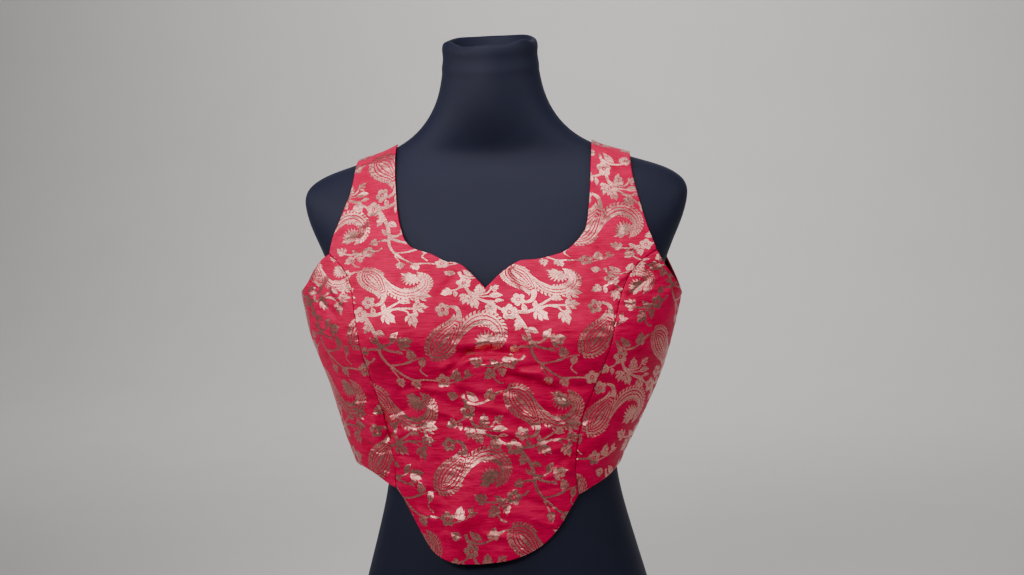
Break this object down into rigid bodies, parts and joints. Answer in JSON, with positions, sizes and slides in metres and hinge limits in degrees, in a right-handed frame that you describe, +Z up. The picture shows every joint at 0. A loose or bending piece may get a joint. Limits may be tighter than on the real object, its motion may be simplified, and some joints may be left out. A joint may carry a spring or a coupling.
{
  "type": "choli blouse on a limbless dress form",
  "caption": "Sleeveless choli blouse with wide straps, sweetheart neckline, princess seams and dipped front hem, worn on a limbless dress form that stands on its flat base.",
  "frame": {"origin": "middle of the whole's footprint, on the surface the dress form stands on", "axes": "+Z up, -Y towards the viewer of the garment's front, +X towards the wearer's left"},
  "size_m": [0.389, 0.2268, 0.6852],
  "materials": {
    "front_centre": "crimson silk brocade with metallic motifs",
    "front_side_left": "crimson silk brocade with metallic motifs",
    "front_side_right": "crimson silk brocade with metallic motifs",
    "back_left": "crimson silk brocade with metallic motifs",
    "back_right": "crimson silk brocade with metallic motifs",
    "dress_form": "matte dark navy stretch cover over a hard torso"
  },
  "bodies": {
    "root": {"front_centre": "front_centre", "front_side_left": "front_side_left", "front_side_right": "front_side_right", "back_left": "back_left", "back_right": "back_right", "dress_form": "dress_form"}
  },
  "joints": []
}
